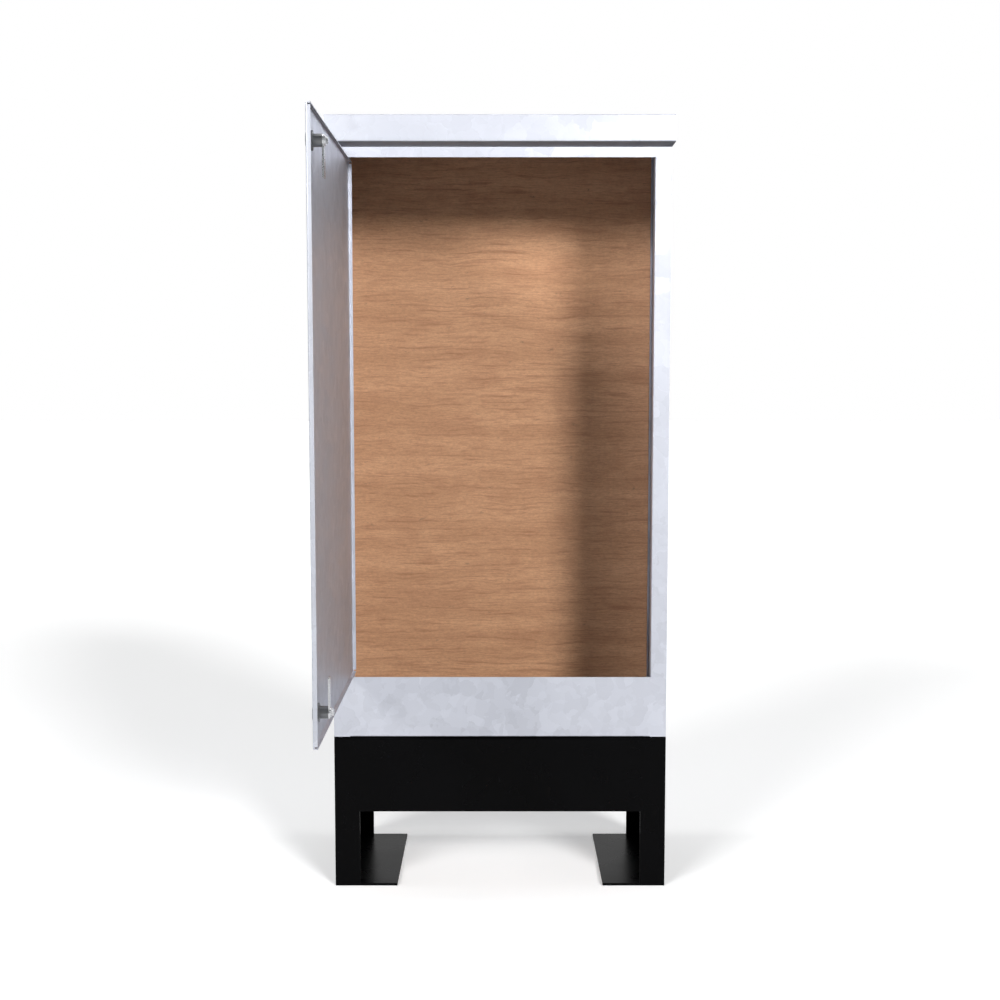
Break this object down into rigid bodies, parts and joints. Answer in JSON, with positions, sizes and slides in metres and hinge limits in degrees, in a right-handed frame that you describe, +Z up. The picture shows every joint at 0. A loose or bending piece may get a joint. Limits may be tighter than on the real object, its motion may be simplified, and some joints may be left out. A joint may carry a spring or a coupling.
{
  "type": "feeder pillar",
  "caption": "Free-standing galvanised steel electrical cabinet with canopy roof, side-hung door on quarter-turn locks, plywood backboard and black root section.",
  "frame": {"origin": "on the ground, in the middle of the footprint of the root section", "axes": "+Z up, +Y to the back of the cabinet, +X to the right of a person who faces the door opening"},
  "size_m": [0.65, 0.8402, 1.4849],
  "materials": {
    "galvanised": "hot-dip galvanised with a soft large spangle",
    "galvanised_bracket": "galvanised",
    "root_coating": "satin black coating",
    "plywood": "bare sanded face veneer with horizontal grain",
    "plated_steel": "bright zinc plate",
    "bush_bronze": "sintered bronze",
    "lock_casting": "zinc die-casting, satin",
    "cam_zinc": "bright zinc plate"
  },
  "bodies": {
    "cabinet": {"body_wrap": "galvanised", "front_frame": "galvanised", "roof_sheet": "galvanised", "backboard": "plywood", "backboard_channel_upper": "galvanised_bracket", "backboard_channel_lower": "galvanised_bracket", "root_side_left": "root_coating", "root_side_right": "root_coating", "foot_plate_left": "root_coating", "foot_plate_right": "root_coating", "root_front": "root_coating", "root_rear": "root_coating", "base_bolts": "plated_steel", "base_washers": "plated_steel", "base_nuts": "plated_steel", "upper_hinge_bracket": "galvanised_bracket", "lower_hinge_bracket": "galvanised_bracket", "upper_hinge_bush": "bush_bronze", "lower_hinge_bush": "bush_bronze"},
    "door": {"door_panel": "galvanised", "upper_hinge_arm": "galvanised_bracket", "lower_hinge_arm": "galvanised_bracket", "upper_hinge_pin": "plated_steel", "lower_hinge_pin": "plated_steel", "hinge_clips": "plated_steel", "upper_lock_housing": "lock_casting", "lower_lock_housing": "lock_casting", "lock_nuts": "lock_casting"},
    "upper_cam": {"upper_lock_spindle": "lock_casting", "upper_lock_cam": "cam_zinc", "upper_cam_washer": "cam_zinc", "upper_cam_bolt": "cam_zinc"},
    "lower_cam": {"lower_lock_spindle": "lock_casting", "lower_lock_cam": "cam_zinc", "lower_cam_washer": "cam_zinc", "lower_cam_bolt": "cam_zinc"}
  },
  "joints": [
    {"name": "door_hinge", "type": "hinge", "parent": "cabinet", "child": "door", "pos_m": [-0.2707, -0.1275, 0.91725], "axis": [0, 0, 1], "range_deg": [0, 90]},
    {"name": "upper_lock_turn", "type": "hinge", "parent": "door", "child": "upper_cam", "pos_m": [-0.27, -0.6602, 1.3615], "axis": [-1, 0, 0], "range_deg": [0, 90]},
    {"name": "lower_lock_turn", "type": "hinge", "parent": "door", "child": "lower_cam", "pos_m": [-0.27, -0.6602, 0.473], "axis": [1, 0, 0], "range_deg": [0, 90]}
  ]
}
